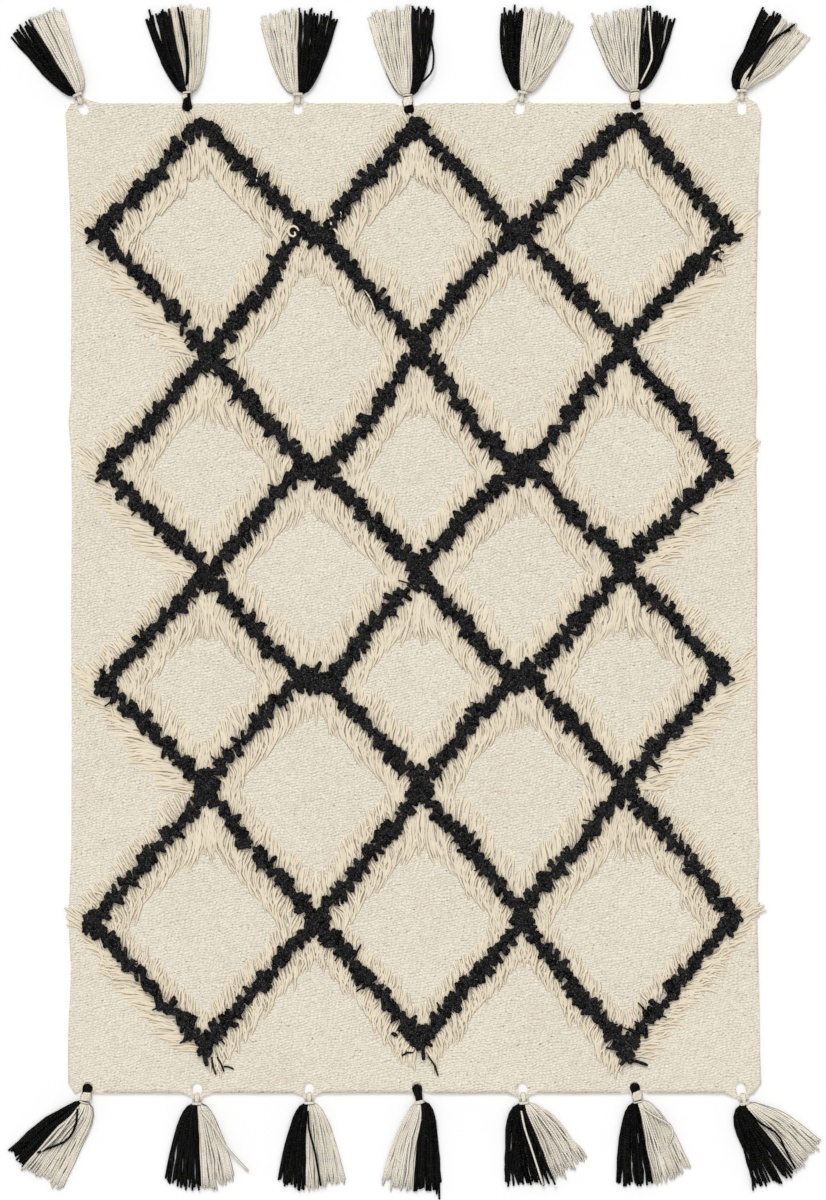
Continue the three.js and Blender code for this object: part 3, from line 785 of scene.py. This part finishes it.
def bowed(start, stop, bow, along):
    """How far the arm's middle has moved aside at each place along it."""
    direction = (stop - start) / np.linalg.norm(stop - start)
    aside = np.array([-direction[1], direction[0]])
    return aside * np.interp(along, BOW_PLACES, bow)[:, None]


def side_kind(start, stop, normal):
    """Which way the pile is combed on this side of an arm."""
    outer_end = max(abs(start[0]), abs(stop[0])) > SIDE_X
    faces_margin = outer_end and normal[0] * (start[0] + stop[0]) > 0
    under = normal[1] < 0
    if faces_margin:
        return "margin_under" if under else "margin_over"
    if under:
        return "under"
    return "top_over" if start[1] > TOP_Y else "over"


def combed_turns(arm, kind, layer, along, flow):
    """Each yarn's turn off the way of its comb at each ring, in degrees, and its length."""
    comb = COMBED[kind]
    top = arm["start"][1]
    count = len(along)
    stations = (0, 0.5, 1)
    first = np.interp(along, stations, comb["root"]) + 4.0 * flow + rng.normal(0, 3, count)
    last = np.interp(along, stations, comb["tip"]) + 5.0 * flow + rng.normal(0, 4, count)
    if kind == "margin_under":
        flatter = np.interp(top, (-300, 500), (16, 4))
        first, last = first - flatter - 1.5 * flow, last - 0.6 * flatter - 2.0 * flow
    if kind == "under" and top < BOTTOM_Y:
        last = last * 0.5 + rng.normal(0, LOW_TANGLE, count)
    length = comb["length"] * layer["length"] * rng.uniform(0.8, 1.1, count)
    if kind == "under":
        length *= np.interp(along, (0.12, 0.34), (arm["hang"], 1.0))
    if top < BOTTOM_Y:
        length *= LOW_LENGTH
    share = np.linspace(0, 1, PILE_RINGS)
    turn = first[:, None] + (last - first)[:, None] * share**1.2
    curl = rng.normal(0, np.interp(top, (-700, 700), (20, 9)), count)
    turn += curl[:, None] * np.sin(FULL_TURN * (share * 1.3 + rng.random(count)[:, None]))
    return turn, length


def combed_aim(kind, normal, turn):
    """Each yarn's heading at each ring, on the plan."""
    if kind.startswith("margin"):
        base, lean = np.array([np.sign(normal[0]), 0.0]), np.array([0.0, 1.0])
    else:
        base, lean = np.array([0.0, np.sign(normal[1])]), np.array([np.sign(normal[0]), 0.0])
    turn = np.radians(turn)
    return np.cos(turn)[..., None] * base + np.sin(turn)[..., None] * lean


def combed_paths(arm, normal, layer):
    """Centrelines of one layer of cream pile on one side of an arm."""
    start, stop = arm["start"], arm["stop"]
    kind = side_kind(start, stop, normal)
    comb = COMBED[kind]
    top_row = start[1] > TOP_Y
    hanging = kind == "under"
    reach = np.linalg.norm(stop - start)
    direction = (stop - start) / reach
    count = int(layer["count"] * SPARSE.get(kind, 1.0))
    along = (np.arange(count) + rng.uniform(0.25, 0.75, count)) / count
    along = -0.04 + 1.08 * along
    offset = rng.uniform(layer["near"], layer["far"], count)
    root = start + direction * (along * reach)[:, None] + normal * offset[:, None]
    flow = sum(np.sin(along * reach / wide + rng.uniform(0, FULL_TURN)) for wide in COMB_WAVES)
    turn, length = combed_turns(arm, kind, layer, along, flow)
    heading = combed_aim(kind, normal, turn)
    limit = comb["limit"] * (TOP_LIMIT if hanging and top_row else 1.0)
    limit = limit + rng.normal(0, 1 if top_row else 5, count)
    pull = np.interp(along, *SWING) if hanging else 0
    firm = 1.0 if top_row else LOOSE_SWING
    plan = [root]
    for ring in range(PILE_RINGS - 1):
        away = (plan[-1] - start) @ normal - 3.0 * flow
        swing = (np.clip((away / limit - 0.55) / 0.42, 0, 1.12) * pull * firm)[:, None]
        aim = heading[:, ring] * (1 - swing) + direction * swing
        plan.append(plan[-1] + aim / length_of(aim) * (length / (PILE_RINGS - 1))[:, None])
    plan = np.stack(plan, axis=1) + bowed(start, stop, arm["bow"], along)[:, None]
    plan = drawn_in(plan, WIDE_REACH if abs(start[1] - WIDE_ROW_Y) <= WIDE_ROW_SPAN else SIDE_REACH)
    share = np.linspace(0, 1, PILE_RINGS)
    lift = layer["arch"] * FLATTER.get(kind, 1.0) * rng.uniform(0.85, 1.15, count)
    crest = np.interp(share, *PILE_ARCH)
    tip = comb["tip_height"] + layer["rest"] * 0.4 + (TOP_TIP if hanging and top_row else 0.0)
    return raised(plan, CLOTH + 0.5 + crest * lift[:, None] + tip * share**1.5)


def drawn_in(plan, edge):
    """Shortens the yarns that would reach past the side edge."""
    root = plan[:, :1]
    reach = np.abs(plan[..., 0]).max(axis=1)
    start = np.abs(root[:, 0, 0])
    limit = edge + rng.uniform(-14, 2, len(plan))
    shrink = np.where(reach > limit, (limit - start) / np.maximum(reach - start, 1), 1.0)
    return root + (plan - root) * np.clip(shrink, 0.3, 1)[:, None, None]


def sides_of(arm):
    """The directions straight away from an arm, on its two sides."""
    direction = (arm["stop"] - arm["start"]) / np.linalg.norm(arm["stop"] - arm["start"])
    normal = np.array([direction[1], -direction[0]])
    return normal, -normal


def inside_ends(paths):
    """Keeps the yarns that stay on the rug's length."""
    limit = BODY_LENGTH / 2 - 4
    reach = np.abs(paths[..., 1] - SHIFT[1]).max(axis=1)
    return paths[reach < limit]


def cream_pile():
    """Combed cream pile, in bands along the rug so that no piece is too large."""
    yarn = cut_yarn(4, PILE_RINGS)
    arms = lattice_arms()
    pieces = []
    for number, band in enumerate((arms[:16], arms[16:32], arms[32:]), 1):
        paths = [
            combed_paths(arm, normal, layer)
            for arm in band
            for normal in sides_of(arm)
            for layer in CREAM_LAYERS
        ]
        paths = inside_ends(np.concatenate(paths))
        radius = CREAM_YARN * rng.uniform(0.85, 1.12, len(paths))
        piece = laid_yarns(f"pile_cream_{number}", "pile", yarn, paths, radius, squash=PILE_SQUASH)
        pieces.append(belongs(piece, "wool_cream", "pile_cream"))
    remove(yarn)
    return pieces


def turned(aim, turn):
    """Directions on the plan, turned to the left by so many degrees."""
    turn = np.radians(turn)
    x, y = aim.T
    return np.stack(
        [x * np.cos(turn) - y * np.sin(turn), x * np.sin(turn) + y * np.cos(turn)], axis=1
    )


def tuft_paths(start, stop, bow, count=TUFTS_PER_ARM, overlap=10, reach_share=1.0):
    """Centrelines and radii of the charcoal tufts along one arm, in clumps that point the
    same way. The first few are fillers that lie along the arm, and some are thin spikes."""
    reach = np.linalg.norm(stop - start)
    direction = (stop - start) / reach
    normal = np.array([direction[1], -direction[0]])
    along = -overlap + (reach + 2 * overlap) * rng.random(count)
    side = np.where(np.arange(count) % 2, 1.0, -1.0)
    right = (side > 0).astype(int)
    clump = np.floor(along / LOBE + 0.5 * right).astype(int)
    middle = (clump + 0.5 - 0.5 * right) * LOBE
    clump -= clump.min()
    sizes = rng.uniform(0.6, 1.28, (clump.max() + 1, 2))
    leans = rng.normal(0, 20, (clump.max() + 1, 2))
    aside = (side * rng.uniform(-5, 4, count))[:, None]
    root = start + direction * along[:, None] + normal * aside
    outward = normal * side[:, None]
    upright = np.stack([np.zeros(count), np.sign(outward[:, 1])], axis=1)
    aim = outward * 0.85 + upright * 0.4
    aim = turned(aim / length_of(aim), leans[clump, right] + rng.normal(0, 5, count))
    spike = rng.random(count) < SPIKE_SHARE
    length = TUFT_REACH * reach_share * sizes[clump, right] * rng.uniform(0.75, 1.05, count)
    length *= np.where(spike, 1.5, 1.0)
    middle = middle + rng.normal(0, 3.0, count)
    tip = start + direction * middle[:, None] + aim * length[:, None]
    tip = tip + rng.normal(0, 1.2, (count, 2))
    filler = (np.arange(count) < FILLER_SHARE * count)[:, None]
    inner = root + normal * rng.uniform(-3, 3, (count, 1))
    onward = inner + direction * FILLER_REACH + rng.normal(0, 3, (count, 2))
    tip = np.where(filler, onward, tip)
    if start[1] > TOP_Y:
        tip[:, 1] = np.minimum(tip[:, 1], start[1] + 6)
    share = np.linspace(0, 1, TUFT_RINGS)
    plan = root[:, None] + (tip - root)[:, None] * share[:, None]
    plan += bowed(start, stop, bow, along / reach)[:, None]
    crest = np.interp(share, *TUFT_ARCH)
    height = CLOTH + 2.4 + crest * rng.uniform(4.4, 6.4, count)[:, None]
    radius = TUFT_YARN * rng.uniform(0.8, 1.1, count) * np.where(spike, 0.45, 1.0)
    return raised(plan, height), radius


def crossing_bars():
    """Short bars of tufts that join the arms where four of them meet, and the full lower
    points of the bottom diamonds."""
    bars = []
    for places, kind in zip(LATTICE_ROWS[1:], BAR_OF_ROW):
        nodes = list(zip(places["x"], places["y"]))
        start, stop, count, share = BARS[kind]
        for node in nodes[1:3] if len(nodes) == 4 else nodes:
            node = np.array(node, float) + SHIFT
            bars.append((node + start, node + stop, (0, 0, 0, 0), count, 2, share))
    return bars


def charcoal_tufts():
    """The shaggy lattice, in two halves so that no piece is too large."""
    yarn = cut_yarn(4, TUFT_RINGS, blunt=0.82)
    arms = [(arm["start"], arm["stop"], arm["bow"]) for arm in lattice_arms()]
    bars = crossing_bars()
    halves = arms[:24] + bars[: len(bars) // 2], arms[24:] + bars[len(bars) // 2 :]
    pieces = []
    for number, half in enumerate(halves, 1):
        tufts = [tuft_paths(*row) for row in half]
        paths, radius = (np.concatenate(parts) for parts in zip(*tufts))
        piece = laid_yarns(f"pile_charcoal_{number}", "tuft", yarn, paths, radius)
        pieces.append(belongs(piece, "wool_charcoal", "pile_black"))
    remove(yarn)
    return pieces


def rug_strays():
    """Single yarns that have come loose from the pile."""
    yarn = cut_yarn(5, STRAY_RINGS)
    pieces = []
    for colour, finish in (("cream", "pile"), ("black", "tuft")):
        rows = [row for row in RUG_STRAYS if row[0] == colour]
        paths = [
            drawn([(x + SHIFT[0], y + SHIFT[1], height) for x, y in places], STRAY_RINGS)
            for _, places, height, _ in rows
        ]
        radius = [thick for *_, thick in rows]
        piece = laid_yarns(f"strays_{colour}", finish, yarn, np.stack(paths), radius)
        pieces.append(belongs(piece, SLOTS[colour]))
    remove(yarn)
    return pieces


# Tassels


def bearing_to(angle):
    """The direction of a compass bearing, on the plan."""
    return np.stack([np.sin(angle), np.cos(angle)], axis=-1)


def right_of(vector):
    return np.stack([vector[..., 1], -vector[..., 0]], axis=-1)


def planned(row):
    """Adds to a tassel's row what follows from it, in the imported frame's millimetres."""
    end = np.sign(row["y"])
    neck = np.array([row["x"], row["y"]], float) + SHIFT
    foot = np.array([row["eyelet"], end * (BODY_LENGTH / 2 - EYELET_DEPTH)]) + SHIFT
    line = neck - foot
    bearing = math.atan2(line[0], line[1])
    if bearing < -math.pi / 2:
        bearing += FULL_TURN
    return dict(
        row,
        neck=neck,
        out=line / np.linalg.norm(line),
        line_bearing=bearing,
        bearing=math.radians((row["start"] + row["stop"]) / 2),
        half_fan=math.radians((row["stop"] - row["start"]) / 2),
        split=2 * row["share"] - 1,
        right="cream" if row["left"] == "black" else "black",
        knot=KNOT_LENGTH[row["loop"]],
    )


def fan_points(tassel, across, share, reach):
    """Points in the fan: yarns leave the neck in its own line and bend round into the fan."""
    turn = across * tassel["half_fan"]
    narrow = 7.0 * across
    bend = 1 - (1 - np.minimum(share / 0.5, 1.0)) ** 2
    swung = tassel["bearing"] - tassel["line_bearing"]
    middle = bearing_to(tassel["line_bearing"] + swung * bend)
    swell = narrow + (reach * np.sin(turn) - narrow) * share**0.52
    return (
        tassel["neck"]
        + middle * (reach * np.cos(turn) * share)[..., None]
        + right_of(middle) * swell[..., None]
    )


def stray_paths(tassel, colour):
    """Centrelines of the yarns of one colour that lie apart from their tassel."""
    paths = []
    for name, own_colour, places, heights in TASSEL_STRAYS:
        if (name, own_colour) == (tassel["name"], colour):
            level = np.interp(np.linspace(0, 1, len(places)), (0, 0.35, 1), heights)
            line = [(x + SHIFT[0], y + SHIFT[1], z) for (x, y), z in zip(places, level)]
            paths.append(drawn(line, TASSEL_RINGS))
    return paths


def tassel_half(tassel, side, yarn):
    """All yarns of one colour of a tassel: its left half for -1 and its right half for 1."""
    colour = tassel["left"] if side < 0 else tassel["right"]
    start, stop = (-1.0, tassel["split"]) if side < 0 else (tassel["split"], 1.0)
    count = max(int(YARNS_PER_TASSEL * (stop - start) / 2), 12)
    share = np.linspace(0, 1, TASSEL_RINGS) ** 1.5
    across = start + (stop - start) * (np.arange(count) + 0.5) / count
    across = across + rng.normal(0, 0.012, count)
    layer = (np.arange(count) % 3 + rng.random(count)) / 3
    reach = tassel["reach"] * rng.normal(0.975, 0.03, count)
    phase = rng.random((2, count, 1))
    drift = across[:, None] + rng.normal(0, 0.05, count)[:, None] * share**1.4
    drift += rng.normal(0, 0.02, count)[:, None] * np.sin(FULL_TURN * (share * 1.3 + phase[0]))
    drift += 0.012 * np.sin(FULL_TURN * (share * 3.1 + phase[1]))
    drift = np.clip(drift, start + 0.02 * (side > 0), stop - 0.02 * (side < 0))
    plan = fan_points(tassel, drift, np.broadcast_to(share, drift.shape), reach[:, None])
    crown = np.interp(share, *TASSEL_ARCH) * (1 - 0.5 * drift**2)
    paths = raised(plan, TASSEL_YARN + layer[:, None] * (crown - 2 * TASSEL_YARN))
    for path in stray_paths(tassel, colour):
        paths = np.concatenate([paths, path[None]])
    radius = TASSEL_YARN * rng.uniform(0.88, 1.04, len(paths))
    name = f"tassel_{tassel['name']}_{colour}"
    piece = laid_yarns(f"{name}_yarns", colour, yarn, paths, radius, squash=TASSEL_SQUASH)
    return belongs(piece, SLOTS[colour], name)


def neck_line(tassel, along, across, height):
    """Points by the neck: outwards from it, to the right of it, and up."""
    along, across = np.asarray(along)[..., None], np.asarray(across)[..., None]
    plan = tassel["neck"] + tassel["out"] * along + right_of(tassel["out"]) * across
    return raised(plan, np.broadcast_to(height, plan.shape[:-1]))


def eyelet_hank(tassel, yarn):
    """The hank that holds the tassel: over the strip of hem, down the eyelet and back."""
    count, half, drop, radius = HANKS[tassel["loop"]]
    strip = -tassel["knot"] - STRIP
    paths = []
    for place in np.linspace(-1, 1, count):
        bight = strip - 2.4 - drop * (1 - 0.3 * place**2)
        profile = [
            (1.5, 6.6, 0.6),
            (strip + STRIP, 6.4, 0.6),
            (strip, 6.2, 0.85),
            (bight + 5, 5.8, 1.1),
            (bight, 3.4, 0.92),
            (bight + 3, 1.3, 0.8),
            (strip, 1.2, 0.55),
            (strip + STRIP + 2, 1.3, 0.5),
        ]
        line = [neck_line(tassel, along, place * half * wide, up) for along, up, wide in profile]
        paths.append(drawn(line, LOOP_RINGS))
    radius = radius * rng.uniform(0.92, 1.05, count)
    colour = tassel["loop"]
    name = f"tassel_{tassel['name']}_{colour}_hank"
    piece = laid_yarns(name, colour, yarn, np.stack(paths), radius, squash=HANK_SQUASH)
    return belongs(piece, SLOTS[colour])


def neck_binding(tassel, cord):
    """Cream cord wound round the tassel's neck."""
    middle = 6.2
    paths, radius = [], []
    way = BINDING_OF.get(tassel["name"], "plain")
    for near, far, turns, half, shift, thick, slant in BINDINGS[way]:
        share = np.linspace(0, 1, CORD_RINGS)
        angle = FULL_TURN * turns * share - math.pi / 2
        along = near + (far - near) * share + slant * np.cos(angle)
        barrel = 1 - 0.38 * (2 * share - 1) ** 2 if turns > 3 else 1.0
        across = shift + (half - thick) * barrel * np.cos(angle)
        height = middle + (middle - thick) * np.sin(angle)
        paths.append(neck_line(tassel, along, across, height))
        radius.append(thick)
    name = f"tassel_{tassel['name']}"
    paths = np.stack(paths)
    piece = laid_yarns(f"{name}_binding", "cream", cord, paths, radius, squash=CORD_SQUASH)
    return belongs(piece, "wool_cream", f"{name}_knot")


def tassels():
    """All tassels, each of two halves, the hank through its eyelet and its binding."""
    yarn = cut_yarn(5, TASSEL_RINGS, blunt=0.92)
    loop_yarn, cord = cut_yarn(6, LOOP_RINGS), cut_yarn(6, CORD_RINGS)
    pieces = []
    for row in TASSELS:
        tassel = planned(row)
        pieces += [tassel_half(tassel, -1, yarn), tassel_half(tassel, 1, yarn)]
        pieces += [eyelet_hank(tassel, loop_yarn), neck_binding(tassel, cord)]
    remove(yarn, loop_yarn, cord)
    return pieces


# Floor, light and camera


def paper_floor():
    bpy.ops.mesh.primitive_plane_add(size=FLOOR_WIDTH_M, location=(0, 0, -FLOOR_DROP_M))
    floor = bpy.context.object
    floor.name = "studio_floor"
    paper = Finish("floor_paper", roughness=0.9)
    grain = paper.noise(paper.place(), 3.0)
    paper.done(paper.blend(grain, tone(252, 252, 252), tone(254, 254, 254)))
    floor.data.materials.append(paper.material)


def soft_daylight():
    world = bpy.data.worlds.new("studio")
    bpy.context.scene.world = world
    world.use_nodes = True
    background = world.node_tree.nodes["Background"]
    background.inputs["Color"].default_value = (1, 1, 1, 1)
    background.inputs["Strength"].default_value = ROUND_LIGHT
    light = bpy.data.lights.new("soft_key", "SUN")
    light.energy = LAMP_LIGHT
    light.angle = LAMP_SOFTNESS
    lamp = bpy.data.objects.new("soft_key", light)
    lamp.rotation_euler = LAMP_SLANT
    bpy.context.scene.collection.objects.link(lamp)


def overhead_camera():
    lens = bpy.data.cameras.new("overhead")
    camera = bpy.data.objects.new("overhead", lens)
    lens.lens = lens.sensor_width * CAMERA_HEIGHT_M / (FRAME_PIXELS * PIXEL * MM)
    lens.clip_end = 60
    x, y = [off * PIXEL * MM + shift * MM for off, shift in zip(OFF_MIDDLE, SHIFT)]
    camera.location = (x, y, CAMERA_HEIGHT_M)
    bpy.context.scene.collection.objects.link(camera)
    bpy.context.scene.camera = camera


def studio():
    bpy.context.scene.view_settings.view_transform = "Standard"
    paper_floor()
    soft_daylight()
    overhead_camera()


deselect()
ground = woven_ground()
pile = cream_pile() + charcoal_tufts() + rug_strays()
hanging = tassels()
studio()
